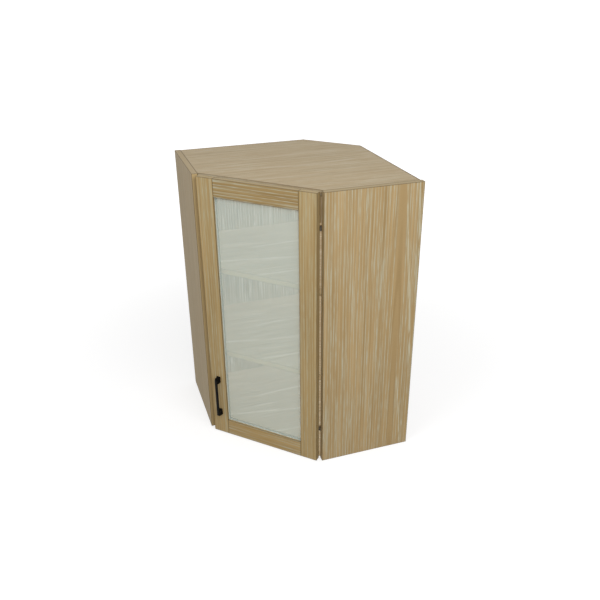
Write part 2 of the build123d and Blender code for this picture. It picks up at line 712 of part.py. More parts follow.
def hook():
    """Right-hand hook: a neck through the back, a lip that hangs on a wall rail, and a nut."""
    start = CASE_FRONT + HANGER_WALL + HOOK_START
    tip = BACK_OUT + HOOK_TAIL
    across = around(HOOK_MIDDLE, HOOK_THICK / 2)
    neck = block((start, tip), across, (HOOK_ROOF - HOOK_TALL, HOOK_ROOF))
    lip = block((tip - HOOK_LIP, tip), across, (HOOK_ROOF - HOOK_TALL - HOOK_DROP, HOOK_ROOF))
    nut = block((start, start + NUT_LENGTH), around(HOOK_MIDDLE, NUT_WIDTH / 2),
                (ADJUSTER_LEVEL - NUT_WIDTH / 2, HOOK_ROOF))
    bore = rod((start - OVERSHOOT, HOOK_MIDDLE, ADJUSTER_LEVEL),
               (start + NUT_LENGTH + OVERSHOOT, HOOK_MIDDLE, ADJUSTER_LEVEL), ADJUSTER_RADIUS + NUT_PLAY)
    return neck + lip + nut - bore


def hook_opening():
    """Slot in the back that the hook's neck passes through."""
    return block((BACK_IN - OVERSHOOT, BACK_OUT + OVERSHOOT), around(HOOK_MIDDLE, HOOK_THICK / 2 + HOOK_PLAY),
                 (HOOK_ROOF - HOOK_TALL - HOOK_PLAY, HOOK_ROOF + HOOK_PLAY))


def adjuster():
    """Right-hand setting screw that draws the hook in and out; its head bears on the case."""
    start = CASE_FRONT + HANGER_WALL
    neck = start + ADJUSTER_HEAD_THICK
    spots = [(x, HOOK_MIDDLE, ADJUSTER_LEVEL) for x in (start, neck, start + ADJUSTER_LENGTH)]
    return rod(spots[0], spots[1], ADJUSTER_HEAD_RADIUS) + rod(spots[1], spots[2], ADJUSTER_RADIUS)


def hanger_cover():
    """Right-hand plastic cover over a bracket case, with a hole for the screwdriver."""
    side = INNER + HANGER_WIDTH
    outer = block((CASE_FRONT - COVER_WALL, BACK_IN), (INNER, side + COVER_WALL),
                  (CASE_FLOOR - COVER_WALL, CASE_ROOF + COVER_WALL))
    inner = block((CASE_FRONT, BACK_IN + OVERSHOOT), (INNER - OVERSHOOT, side), (CASE_FLOOR, CASE_ROOF))
    return outer - inner - driver_hole(CASE_FRONT - COVER_WALL - OVERSHOOT, CASE_FRONT + OVERSHOOT)


# The finished pieces by name


def carcass_nodes():
    """The boards, the backs and what fastens them."""
    found = {
        "side_panel_left": left(side_panel()),
        "side_panel_right": without(side_panel(), plate_screws(FIT)),
        "bottom_panel": end_panel(0),
        "top_panel": end_panel(HEIGHT - BOARD),
        "back_panel_left": left(side_back()),
        "back_panel_right": side_back(),
        "back_panel_corner": corner_back(),
        "back_panel_nails": nails(),
        "carcass_dowels": both(dowels()),
        "cam_locks": both(cams()),
        "cam_bolts": both(bolts()),
        "cam_caps": both(caps()),
        "shelf_pegs": both(pegs()),
        "door_buffers": buffers(),
    }
    for number, base in enumerate(shelf_bases(), start=1):
        found[f"shelf_{number}"] = shelf(base)
    return found


def door_nodes():
    """The door frame, its pane and its handle."""
    return {
        "door_stile_left": free_stile(),
        "door_stile_right": hinge_stile(),
        "door_rail_top": rail(DOOR_TOP - RAIL),
        "door_rail_bottom": rail(DOOR_BASE),
        "door_frame_dowels": frame_dowels(),
        "door_glass": pane(),
        "glazing_seal": seal(),
        "door_handle": handle(),
        "handle_screws": handle_screws(),
    }


def hinge_nodes():
    """Both cup hinges."""
    found = {
        "hinge_cup_screws": cup_screws(),
        "hinge_arm_screws": arm_screws(),
        "hinge_plate_screws": plate_screws(),
    }
    for place, level in zip(("lower", "upper"), HINGE_LEVELS):
        found[f"hinge_cup_{place}"] = hinge_cup(level)
        found[f"hinge_pin_{place}"] = hinge_pin(level)
        found[f"hinge_arm_{place}"] = hinge_arm(level)
        found[f"hinge_plate_{place}"] = hinge_plate(level)
    return found


def hanger_nodes():
    """Both hanging brackets."""
    found = {
        "hanger_screws": both(case_screws()),
        "hanger_adjusters": both([adjuster()]),
    }
    for piece, shape in (("case", hanger_case()), ("hook", hook()), ("cover", hanger_cover())):
        found[f"hanger_{piece}_right"] = shape
        found[f"hanger_{piece}_left"] = left(shape)
    return found


os.makedirs("parts", exist_ok=True)
for name, shape in {**carcass_nodes(), **door_nodes(), **hinge_nodes(), **hanger_nodes()}.items():
    pieces = shape if isinstance(shape, list) else [shape]
    export_step(Compound([solid for piece in pieces for solid in piece.solids()]), f"parts/{name}.step")
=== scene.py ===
import math
import bmesh
import bpy
import numpy as np
from mathutils import Matrix, Vector


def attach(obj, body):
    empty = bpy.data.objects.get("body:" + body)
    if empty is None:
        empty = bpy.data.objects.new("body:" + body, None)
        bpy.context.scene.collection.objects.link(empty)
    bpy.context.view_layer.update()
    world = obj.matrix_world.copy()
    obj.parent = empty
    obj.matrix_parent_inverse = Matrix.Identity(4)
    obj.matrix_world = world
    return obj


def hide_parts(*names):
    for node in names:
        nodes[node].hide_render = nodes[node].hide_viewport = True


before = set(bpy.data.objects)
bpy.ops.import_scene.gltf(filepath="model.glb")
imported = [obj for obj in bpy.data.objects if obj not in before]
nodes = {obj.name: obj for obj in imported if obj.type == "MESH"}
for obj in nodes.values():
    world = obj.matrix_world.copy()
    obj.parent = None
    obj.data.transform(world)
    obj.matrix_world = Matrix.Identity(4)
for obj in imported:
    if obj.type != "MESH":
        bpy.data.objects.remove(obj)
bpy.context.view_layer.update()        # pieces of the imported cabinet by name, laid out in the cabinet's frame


# Side boards: two upright boards of 18 mm faced chipboard, 900 mm tall, that stand out 300 mm from the
# walls. Their limed oak decor is printed paper pressed on in one go, and each edge is closed with a strip
# of the same decor. A thin dark line of painted shade runs along every arris.

class Shade:
    """A value on a shader socket. + - * ** < > and abs add Math nodes, & gives the lower value and | the
    higher."""

    def __init__(self, finish, socket):
        self.finish = finish
        self.socket = socket

    def math(self, operation, first, second):
        return self.finish.node("ShaderNodeMath", {"operation": operation}, {0: first, 1: second})

    def __add__(self, other):
        return self.math("ADD", self, other)

    def __sub__(self, other):
        return self.math("SUBTRACT", self, other)

    def __rsub__(self, other):
        return self.math("SUBTRACT", other, self)

    def __mul__(self, other):
        return self.math("MULTIPLY", self, other)

    def __pow__(self, other):
        return self.math("POWER", self, other)

    def __lt__(self, other):
        return self.math("LESS_THAN", self, other)

    def __gt__(self, other):
        return self.math("GREATER_THAN", self, other)

    def __and__(self, other):
        return self.math("MINIMUM", self, other)

    def __or__(self, other):
        return self.math("MAXIMUM", self, other)

    def __abs__(self):
        return self.math("ABSOLUTE", self, 0.0)

    __radd__, __rmul__ = __add__, __mul__


class Finish:
    """The shader of a new material or world in the making."""

    def __init__(self, owner):
        owner.use_nodes = True
        self.owner = owner
        self.tree = owner.node_tree
        self.tree.nodes.clear()

    def node(self, kind, settings, inputs, out=0):
        """Adds one node, its settings first and then the value or link of each socket. Gives one output."""
        made = self.tree.nodes.new(kind)
        for key, value in settings.items():
            setattr(made, key, value)
        for key, value in inputs.items():
            if isinstance(value, Shade):
                self.tree.links.new(value.socket, made.inputs[key])
            else:
                made.inputs[key].default_value = value
        return Shade(self, made.outputs[out])

    def place(self):
        """Where a point of the surface lies in the cabinet's own frame, in metres."""
        return self.node("ShaderNodeTexCoord", {}, {}, 3)

    def facing(self):
        """Which way the surface faces in the cabinet's own frame."""
        return self.node("ShaderNodeTexCoord", {}, {}, 1)

    def dot(self, first, second):
        """How far the first vector reaches along the second, which is one unit long."""
        return self.node("ShaderNodeVectorMath", {"operation": "DOT_PRODUCT"}, {0: first, 1: second}, 1)

    def grain(self, at, scale, detail=2.0, roughness=0.5):
        """Soft noise from 0 to 1, alike in every direction, with scale blots to the metre."""
        return self.node("ShaderNodeTexNoise", {},
                         {"Vector": at, "Scale": scale, "Detail": detail, "Roughness": roughness})

    def streaks(self, across, along, blots, seed, detail=2.0, roughness=0.5):
        """Soft noise from 0 to 1 drawn out with the wood, with so many blots to the metre across it and
        along it. Each seed gives another pattern."""
        fine, long = blots
        at = self.node("ShaderNodeCombineXYZ", {}, {0: across * fine, 1: along * long, 2: seed})
        return self.grain(at, 1.0, detail, roughness)

    def fade(self, value, start, end):
        """0 at start, 1 at end, and smooth between."""
        return self.node("ShaderNodeMapRange", {"interpolation_type": "SMOOTHSTEP"},
                         {"Value": value, "From Min": start, "From Max": end})

    def mix(self, share, first, second):
        """The first colour where share is 0, and the second where it is 1."""
        return self.node("ShaderNodeMix", {"data_type": "RGBA"}, {0: share, 6: first, 7: second}, 2)

    def bump(self, height, depth):
        """The surface's normal with height, from 0 to 1, standing depth metres out of it."""
        return self.node("ShaderNodeBump", {}, {"Height": height, "Distance": depth, "Strength": 1.0})

    def principled(self, **sockets):
        """A Principled surface; each name is a socket's with _ for a space."""
        inputs = {key.replace("_", " "): value for key, value in sockets.items()}
        return self.node("ShaderNodeBsdfPrincipled", {}, inputs)

    def end(self, shade, output="ShaderNodeOutputMaterial"):
        """Joins a shader to the output, and gives the finished material or world."""
        self.tree.links.new(shade.socket, self.tree.nodes.new(output).inputs["Surface"])
        return self.owner


def new_finish(name):
    return Finish(bpy.data.materials.new(name))


def coat(material, *names):
    """Gives pieces one material in place of what they carry."""
    for name in names:
        nodes[name].data.materials.clear()
        nodes[name].data.materials.append(material)


def tone(red, green, blue):
    """A colour chart's colour as linear light: ((c + 0.055) / 1.055) ** 2.4 for each channel c, 0 to 1."""
    return tuple(((c / 255 + 0.055) / 1.055) ** 2.4 for c in (red, green, blue)) + (1.0,)


ON_PLANE = 1e-4              # a point nearer to a plane than this lies on it
NO_AREA = 1e-12              # a triangle smaller than this has no direction
NARROWEST_FACE = 0.003       # a flat face's area divided by its length; eased arrises are narrower


def flat_faces(node):
    """A board's flat outer faces as (normal, offset), largest first: the groups of triangles with one
    normal and one offset that no vertex lies beyond and that aren't too narrow."""
    mesh = nodes[node].data
    points = np.empty(len(mesh.vertices) * 3)
    mesh.vertices.foreach_get("co", points)
    points = points.reshape(-1, 3)
    mesh.calc_loop_triangles()
    corners = np.empty(len(mesh.loop_triangles) * 3, int)
    mesh.loop_triangles.foreach_get("vertices", corners)
    a, b, c = points[corners.reshape(-1, 3)].transpose(1, 0, 2)
    normals = np.cross(b - a, c - a)
    areas = np.linalg.norm(normals, axis=1)
    keep = areas > NO_AREA
    normals = normals[keep] / areas[keep, None]
    areas = areas[keep] / 2
    offsets = (normals * a[keep]).sum(1)
    order = np.argsort(-areas)
    normals, offsets, areas = normals[order], offsets[order], areas[order]
    keys = np.column_stack([normals.round(3), offsets.round(4)]) + 0.0
    _, largest, which = np.unique(keys, axis=0, return_index=True, return_inverse=True)
    area = np.bincount(which.ravel(), areas)
    faces = []
    for number in np.argsort(-area):
        normal = normals[largest[number]]
        offset = offsets[largest[number]]
        beyond = points @ normal - offset
        length = np.linalg.norm(np.ptp(points[abs(beyond) < ON_PLANE], axis=0))
        if beyond.max() < ON_PLANE and area[number] / length > NARROWEST_FACE:
            faces.append((tuple(normal), float(offset)))
    return faces


def edge_distance(finish, place, node):
    """How far a point on a board is from its nearest arris. A point lies on one flat face, so this is the
    second smallest of its distances to all of them."""
    nearest, second = None, None
    for normal, offset in flat_faces(node):
        distance = offset - finish.dot(place, normal)
        if nearest is None:
            nearest = distance
        else:
            farther = nearest | distance
            second = farther if second is None else second & farther
            nearest = nearest & distance
    return second


LINE_PITCH = 0.0094          # from one pale line of the decor to the next
LINE_DRIFT = 7.0             # how far the lines' phase drifts, in radians; one line is 6.3
BETWEEN_BEADS = 0.45         # what is left of a line between two of its beads
# Blots of noise to the metre, across the wood and along it.
DRIFTS = (40, 1.3)
THIN_LINES = (300, 4)
STRETCHES = (130, 6)
BEADS = (240, 26)


def pale_lines(finish, ring, along, seed):
    """The liming in the grain. Its main lines are the peaks of a sine of the ring, a pitch apart, whose
    phase drifts by about a line. Thinner lines lie between them, where a noise of the ring is high. One
    noise breaks both up into stretches, and another into beads."""
    drift = finish.streaks(ring, along, DRIFTS, seed, 1.0)
    wave = finish.node("ShaderNodeMath", {"operation": "SINE"},
                       {0: ring * (2 * math.pi / LINE_PITCH) + drift * LINE_DRIFT})
    between = finish.streaks(ring, along, THIN_LINES, seed + 9.1, 1.0)
    lines = finish.fade(wave, 0.45, 1.0) | finish.fade(between, 0.54, 0.66)
    stretches = finish.streaks(ring, along, STRETCHES, seed + 11.3, 2.0, 0.6)
    beads = finish.fade(finish.streaks(ring, along, BEADS, seed + 13.7, 1.0), 0.35, 0.60)
    return lines * finish.fade(stretches, 0.28, 0.52) * (BETWEEN_BEADS + (1 - BETWEEN_BEADS) * beads)


RAY_SWAY = 0.007             # how far a ray strays from side to side
RAY_TAPER = 0.02             # a ray fades out from this far inside its end to this far beyond it
BENDS = 9                    # bends of a ray to the metre
MOTTLES = (190, 16)          # its mottles to the metre, across the wood and along it


def wood_rays(finish, wide, along, rays, seed):
    """The decor's pale mottled rays: 1 in the middle of a ray and 0 from its width on. Each runs straight
    from (high_at, high) to (low_at, low), in metres across and along the board, and a noise of the length
    bends it."""
    ray = 0.0
    for high_at, high, low_at, low, width in rays:
        middle = low_at + (along - low) * ((high_at - low_at) / (high - low))
        bend = finish.node("ShaderNodeCombineXYZ", {}, {0: along * BENDS, 1: seed + high_at * 31, 2: 0.0})
        middle = middle + RAY_SWAY * (finish.grain(bend, 1.0, 1.0) - 0.5)
        low_end = finish.fade(along, low - RAY_TAPER, low + RAY_TAPER)
        high_end = finish.fade(along, high + RAY_TAPER, high - RAY_TAPER)
        mottle = finish.fade(finish.streaks(wide, along, MOTTLES, seed + 15.1, 1.0), 0.30, 0.55)
        ray = finish.fade(abs(wide - middle), width, 0.0) * (low_end & high_end) * mottle | ray
    return ray


ALONG_X = (1.0, 0.0, 0.0)
ALONG_Y = (0.0, 1.0, 0.0)
ALONG_Z = (0.0, 0.0, 1.0)
LOOKS_ALONG = 0.7            # a face looks along a direction when its normal reaches this far along it
RING_WANDER = 0.004          # how far the growth rings stray from side to side
HEART_DEPTH = 0.010          # from the face to the rings' middle, level with the frame's origin
HEART_LEAN = 0.012           # how much deeper the middle lies for each metre along the board
ARRIS_WIDTH = 0.0012         # width of the painted shade line along each arris
DECOR_RELIEF = 0.00012       # how deep the pores are pressed
# How far the dark lines, the pale lines, the rays and the painted arris shade cover what lies under them.
SHADOW_SHARE = 0.5
LIMED_SHARE = 0.9
RAY_SHARE = 0.75
ARRIS_SHADE_SHARE = 0.8
# Blots of noise to the metre, across the wood and along it.
WANDERS = (9, 2.6)
BROAD_BANDS = (40, 1.2)
SHADOWS = (250, 3)
PORES = (900, 45)


def oak_decor(node, grain, across, thick, tones, seed, heart, limed=1.0, dark=1.0, rays=(), raw=None):
    """Limed oak decor on one board. The growth rings are a cylinder that leans, so a point's ring is the
    square root of (across - heart)^2 + depth^2, where depth grows along the board. Each ring is a line that
    runs along the board and bends over in an arch where the cylinder comes near the face, as on sawn oak.
    On the board's edges the lines run along the edge. A board with a raw value stays bare on every face
    but the one that looks that way."""
    finish = new_finish(node + "_oak")
    place = finish.place()
    facing = finish.facing()
    tangent = finish.node("ShaderNodeVectorMath", {"operation": "CROSS_PRODUCT"}, {0: facing, 1: thick})
    on_edge = abs(finish.dot(facing, thick)) < LOOKS_ALONG
    along = finish.dot(place, grain) * (1 - on_edge) + finish.dot(place, tangent) * on_edge
    wide = finish.dot(place, across) * (1 - on_edge) + finish.dot(place, thick) * on_edge
    wander = finish.streaks(wide, along, WANDERS, seed) - 0.5
    bent = wide - heart + wander * RING_WANDER
    depth = HEART_DEPTH + HEART_LEAN * along
    ring = (bent * bent + depth * depth) ** 0.5
    steep = abs(bent) * ring ** -1.0
    pale = pale_lines(finish, ring, along, seed) * finish.fade(steep, 0.4, 0.85)
    broad = finish.streaks(ring, along, BROAD_BANDS, seed + 3.1)
    shadow = finish.fade(finish.streaks(ring, along, SHADOWS, seed + 17.9, 1.0), 0.46, 0.70)
    pores = finish.streaks(ring, along, PORES, seed + 23.0, 1.0)
    colour = finish.mix(finish.fade(broad, 0.35, 0.65), tones["body"], tones["warm"])
    colour = finish.mix(shadow * (SHADOW_SHARE * dark), colour, tones["dark"])
    colour = finish.mix(pale * (LIMED_SHARE * limed), colour, tones["limed"])
    if rays:
        colour = finish.mix(wood_rays(finish, wide, along, rays, seed) * RAY_SHARE, colour, tones["ray"])
    # Painted light and shade on the edges: the end tone greys the edges that look up or down, and the edge
    # tone makes the upright edges darker on the right board and the door and lighter on the other boards.
    upward = abs(finish.dot(facing, ALONG_Z)) > LOOKS_ALONG
    colour = finish.mix(on_edge * upward * tones["end_share"], colour, tones["end"])
    colour = finish.mix(on_edge * (1 - upward) * tones["edge_share"], colour, tones["edge"])
    # Painted shade: a thin dark line along every arris, darkest at the arris itself.
    arris_shade = finish.fade(edge_distance(finish, place, node), ARRIS_WIDTH * 1.4, ARRIS_WIDTH * 0.6)
    colour = finish.mix(arris_shade * ARRIS_SHADE_SHARE, colour, tones["line"])
    if raw:
        fibre = finish.grain(place, 700.0, 4.0, 0.7)
        bare = finish.mix(finish.fade(fibre, 0.35, 0.65), tone(106, 84, 59), tone(148, 120, 87))
        colour = finish.mix(finish.dot(facing, raw) < 0.5, colour, bare)
    relief = finish.bump(pores * 0.6 + 0.4 * (1 - shadow), DECOR_RELIEF)
    coat(finish.end(finish.principled(
        Base_Color=colour, Roughness=0.5 + 0.16 * pores + 0.06 * pale, Specular_IOR_Level=0.2,
        Normal=relief)), node)


# Tones of the decor. The warm-lit and the cool-lit tables are one decor in two tints of painted light:
# the warm one on the right board and the door, which face the key lamp, and the cool one on the top, the
# left board and the boards inside. The end tone lies on edges that look up or down and the edge tone on
# the others, each as far as its share says; both are painted light and shade on those edges.
WARM_LIT_OAK = {
    "body": tone(168, 142, 99), "warm": tone(180, 153, 109), "dark": tone(149, 123, 80),
    "limed": tone(184, 178, 153), "ray": tone(200, 197, 172), "line": tone(96, 82, 54),
    "edge": tone(128, 108, 72), "edge_share": 0.3, "end": tone(160, 144, 112), "end_share": 0.75,
}
COOL_LIT_OAK = {
    "body": tone(171, 152, 120), "warm": tone(177, 158, 126), "dark": tone(154, 136, 103),
    "limed": tone(189, 179, 155), "ray": tone(186, 173, 149), "line": tone(100, 86, 60),
    "edge": tone(186, 161, 114), "edge_share": 0.85, "end": tone(168, 151, 120), "end_share": 0.6,
}
# A darker copy of the cool-lit tones for the left board, which faces away from the key lamp: painted shade.
SHADED_OAK = {
    **COOL_LIT_OAK, "body": tone(164, 144, 109), "warm": tone(170, 150, 115), "dark": tone(148, 129, 94),
}
# The right board's pale rays: place across and height at the top, the same at the foot, and half the width.
RIGHT_RAYS = [
    (0.248, 0.90, 0.265, 0.64, 0.004),
    (0.265, 0.66, 0.275, 0.54, 0.006),
    (0.275, 0.55, 0.289, 0.34, 0.005),
    (0.250, 0.27, 0.275, 0.00, 0.004),
    (0.284, 0.91, 0.296, 0.68, 0.005),
]
oak_decor("side_panel_right", ALONG_Z, ALONG_X, ALONG_Y, WARM_LIT_OAK, seed=4.0, heart=0.236,
          rays=RIGHT_RAYS)
oak_decor("side_panel_left", ALONG_Z, ALONG_Y, ALONG_X, SHADED_OAK, seed=9.0, heart=-0.2, limed=0.5,
          dark=0.6)


# Bottom and top boards: five-cornered boards of the same faced chipboard between the side boards.
# Their grain runs along the left-hand wall, and the top one is seen whole from above.

# The top board takes the cool tint of painted light, with plain edges.
PLAIN_COOL_LIT_OAK = {**COOL_LIT_OAK, "edge_share": 0.0, "end_share": 0.0}
# Its edge tone lightens the upright edges of the boards inside: painted light.
INNER_OAK = {
    **PLAIN_COOL_LIT_OAK, "dark": tone(150, 131, 99), "limed": tone(203, 193, 170),
    "ray": tone(204, 194, 171), "line": tone(150, 132, 100), "edge": tone(206, 182, 139), "edge_share": 0.8,
}
BOARD_RAYS = [
    (0.0, 0.27, -0.024, 0.0, 0.010),
    (-0.024, 0.02, 0.03, -0.28, 0.009),
    (0.12, 0.20, 0.10, -0.10, 0.008),
    (-0.13, 0.05, -0.12, -0.15, 0.008),
]
oak_decor("bottom_panel", ALONG_X, ALONG_Y, ALONG_Z, INNER_OAK, seed=15.0, heart=0.4, limed=0.8, dark=1.1,
          rays=BOARD_RAYS)
oak_decor("top_panel", ALONG_X, ALONG_Y, ALONG_Z, PLAIN_COOL_LIT_OAK, seed=21.0, heart=0.4, dark=1.7,
          rays=BOARD_RAYS)


# Dowels of the carcass: beech pins, glued half into the side boards and half into the ends of the top and
# the bottom. They line the boards up while the cams draw them together.

FLECK_RELIEF = 0.00004


def beech_wood():
    """Steamed beech: a pinkish cream that drifts by noise, with short dark flecks a millimetre long where a
    finer noise is high."""
    finish = new_finish("steamed_beech")
    place = finish.place()
    flecks = finish.fade(finish.grain(place, 1100.0), 0.58, 0.70)
    cloud = finish.grain(place, 90.0)
    colour = finish.mix(cloud, tone(206, 172, 130), tone(220, 190, 148))
    colour = finish.mix(flecks * 0.5, colour, tone(166, 122, 82))
    return finish.end(finish.principled(
        Base_Color=colour, Roughness=0.6 + 0.1 * flecks, Specular_IOR_Level=0.2,
        Normal=finish.bump(1 - flecks, FLECK_RELIEF)))


BEECH = beech_wood()
coat(BEECH, "carcass_dowels")


# Cam fittings: a steel bolt in the side board, a die-cast cam in the top or bottom that draws its head in,
# and a beige moulded cap over the cam.

PLATING_RELIEF = 0.00002
MOULDED_RELIEF = 0.00003


def metal(name, colour, roughness):
    """Plated metal: a noise with blots about a millimetre across varies its roughness and relief a little,
    and one twelve times as coarse takes its colour down to 0.82 of the full tone."""
    finish = new_finish(name)
    place = finish.place()
    grain = finish.grain(place, 900.0)
    cloud = finish.grain(place, 75.0, 1.0)
    darker = tuple(c * 0.82 for c in colour[:3]) + (1.0,)
    return finish.end(finish.principled(
        Base_Color=finish.mix(cloud, darker, colour), Metallic=1.0,
        Roughness=roughness - 0.08 + 0.16 * grain, Normal=finish.bump(grain, PLATING_RELIEF)))


def moulded(name, colour, roughness, metallic=0.0, specular=0.5):
    """A moulding, a casting or paint: a fine speckle in its relief and roughness, and a slow drift of its
    colour down to 0.85 of the full tone."""
    finish = new_finish(name)
    place = finish.place()
    speckle = finish.grain(place, 1400.0)
    drift = finish.grain(place, 60.0, 1.0)
    darker = tuple(c * 0.85 for c in colour[:3]) + (1.0,)
    return finish.end(finish.principled(
        Base_Color=finish.mix(drift, darker, colour), Metallic=metallic,
        Roughness=roughness - 0.05 + 0.1 * speckle, Specular_IOR_Level=specular,
        Normal=finish.bump(speckle, MOULDED_RELIEF)))


ZINC_PLATE = metal("zinc_plate", tone(198, 199, 201), 0.38)
coat(ZINC_PLATE, "cam_bolts")
coat(moulded("die_cast_grey", tone(160, 161, 164), 0.5, metallic=0.8), "cam_locks")
coat(moulded("beige_moulding", tone(196, 178, 146), 0.5), "cam_caps")


# Backs: three pieces of 3 mm hardboard, two along the walls and one across the room corner, printed with
# the decor inside and bare brown fibre outside. The two along the walls have an edge in the side boards'
# grooves, and all three are nailed on from behind.

BACK_OAK = {**INNER_OAK, "dark": tone(138, 121, 90), "limed": tone(210, 202, 181)}
DIAGONAL = (math.sqrt(0.5), -math.sqrt(0.5), 0.0)            # along the door, towards its hinges
OUTWARD = (-math.sqrt(0.5), -math.sqrt(0.5), 0.0)            # straight out of the door's front
for seed, back, across, thick, inward in (
        (51.0, "back_panel_left", ALONG_X, ALONG_Y, (0.0, -1.0, 0.0)),
        (56.0, "back_panel_right", ALONG_Y, ALONG_X, (-1.0, 0.0, 0.0)),
        (61.0, "back_panel_corner", DIAGONAL, OUTWARD, OUTWARD)):
    oak_decor(back, ALONG_Z, across, thick, BACK_OAK, seed=seed, heart=0.5, dark=1.4, raw=inward)
coat(ZINC_PLATE, "back_panel_nails")


# Shelves: two boards of the same faced chipboard, cut to the carcass's inside. Each rests on four steel
# pegs, two in each side board, and is nailed through the backs.

for seed, shelf in ((31.0, "shelf_1"), (37.0, "shelf_2")):
    oak_decor(shelf, ALONG_X, ALONG_Y, ALONG_Z, INNER_OAK, seed=seed, heart=0.4, limed=0.8, dark=1.1,
              rays=BOARD_RAYS)
coat(ZINC_PLATE, "shelf_pegs")


# Hanging brackets: pressed steel cases screwed to the side boards, high up against the backs. Each has a
# hook that reaches through the back, a setting screw, and a white cover that clips on.

coat(ZINC_PLATE, "hanger_case_left", "hanger_case_right", "hanger_adjusters", "hanger_screws",
     "hanger_hook_left", "hanger_hook_right")
coat(moulded("white_moulding", tone(232, 230, 222), 0.42), "hanger_cover_left", "hanger_cover_right")


# Hinge plates and arms: nickel-plated pressings. Each plate is screwed to the right side board, and the
# cranked arm is held on it by a fixing screw and a setting screw.

NICKEL_PLATE = metal("nickel_plate", tone(186, 182, 172), 0.5)
coat(NICKEL_PLATE, "hinge_arm_upper", "hinge_arm_lower", "hinge_plate_upper", "hinge_plate_lower")
coat(ZINC_PLATE, "hinge_arm_screws", "hinge_plate_screws")


# Door buffers: soft clear studs whose stems are pushed into the front edges of the top and bottom boards,
# just behind the closed door's free end.

coat(moulded("soft_clear", tone(220, 219, 212), 0.35), "door_buffers")


# Door frame: two stiles and two rails of fibreboard wrapped in the golden oak decor, dowelled and glued at
# the corners. The grain follows each member, and the lower rail is paler and quieter than the upper.

# Its larger edge share darkens the stiles' upright edges further: painted shade.
DOOR_OAK = {
    **WARM_LIT_OAK, "body": tone(172, 146, 99), "warm": tone(182, 155, 107), "limed": tone(185, 177, 146),
    "edge_share": 0.6, "end_share": 0.6,
}
RAIL_OAK = {
    **DOOR_OAK, "body": tone(154, 129, 85), "warm": tone(166, 141, 96), "dark": tone(134, 108, 64),
    "limed": tone(184, 181, 158), "edge_share": 0.0,
}
LOW_RAIL_OAK = {
    **RAIL_OAK, "body": tone(172, 143, 92), "warm": tone(182, 153, 102), "dark": tone(152, 122, 74),
}
for seed, stile in ((71.0, "door_stile_left"), (79.0, "door_stile_right")):
    oak_decor(stile, ALONG_Z, DIAGONAL, OUTWARD, DOOR_OAK, seed=seed, heart=0.5, limed=0.9)
oak_decor("door_rail_top", DIAGONAL, ALONG_Z, OUTWARD, RAIL_OAK, seed=91.0, heart=-0.3, dark=1.3)
oak_decor("door_rail_bottom", DIAGONAL, ALONG_Z, OUTWARD, LOW_RAIL_OAK, seed=99.0, heart=-0.3, limed=0.8,
          dark=1.1)
coat(BEECH, "door_frame_dowels")


# Pane: 4 mm float glass in a groove of the frame, set in a pale grey seal that fills the groove round it.
# It looks pale and slightly green, and the shelves show through it faintly.

VEIL = 0.28                  # how much of what lies behind it each of the pane's two faces hides


def veiled_glass():
    """Glass that veils what is behind it with a pale green-blue, which drifts slowly by noise. It lets all
    light through to what it would shade."""
    finish = new_finish("veiled_glass")
    cloud = finish.grain(finish.place(), 6.0)
    surface = finish.principled(
        Base_Color=finish.mix(cloud, tone(212, 235, 234), tone(215, 238, 237)),
        Roughness=0.06 + 0.08 * cloud, Alpha=VEIL, Specular_IOR_Level=0.3)
    clear = finish.node("ShaderNodeBsdfTransparent", {}, {"Color": (1.0, 1.0, 1.0, 1.0)})
    for_shadows = finish.node("ShaderNodeLightPath", {}, {}, 1)
    return finish.end(finish.node("ShaderNodeMixShader", {}, {0: for_shadows, 1: surface, 2: clear}))


coat(veiled_glass(), "door_glass")
# The seal's near-white tone is painted light that lifts the shade in the groove.
coat(moulded("grey_seal", tone(240, 240, 228), 0.6), "glazing_seal")


# Hinge cups and pins: nickel-plated cups let into the back of the right stile, each held by two screws.
# A ground steel pin between the cup's two lugs carries the arm's knuckle.

coat(NICKEL_PLATE, "hinge_cup_upper", "hinge_cup_lower")
coat(metal("ground_steel", tone(200, 200, 202), 0.3), "hinge_pin_upper", "hinge_pin_lower")
coat(ZINC_PLATE, "hinge_cup_screws")


# Handle: a bow handle of cast metal, painted satin black, on two screws through the left stile. Its arrises
# are eased before it is painted.

SAME_PLACE = 1e-5            # corners of the casting that lie this near to each other are one
SAME_FACE = math.radians(1)  # triangles that turn less than this from each other are one face
SHARP = math.radians(30)     # an edge that turns more than this is eased
EASE = 0.0006                # width of an eased arris


def eased_handle():
    """A copy of the cast handle with its corners merged, its flat triangles joined to faces, and its sharp
    arrises rounded over in three steps."""
    mesh = nodes["door_handle"].data.copy()
    shape = bmesh.new()
    shape.from_mesh(mesh)
    bmesh.ops.remove_doubles(shape, verts=shape.verts, dist=SAME_PLACE)
    bmesh.ops.dissolve_limit(shape, angle_limit=SAME_FACE, verts=shape.verts, edges=shape.edges)
    shape.to_mesh(mesh)
    shape.free()
    piece = bpy.data.objects.new("bow_handle", mesh)
    bpy.context.scene.collection.objects.link(piece)
    ease = piece.modifiers.new("ease", "BEVEL")
    ease.width = EASE
    ease.segments = 3
    ease.limit_method = "ANGLE"
    ease.angle_limit = SHARP
    piece.data.materials.clear()
    piece.data.materials.append(moulded("satin_black_paint", tone(3, 3, 3), 0.5, specular=0.1))
    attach(piece, "door")
    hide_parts("door_handle")


eased_handle()
coat(ZINC_PLATE, "handle_screws")


# Floor: a large matt grey sheet just under the cabinet, which takes a soft shadow. It glows for the rays
# that show it, a little more far away, so that it looks pale and lights nothing.

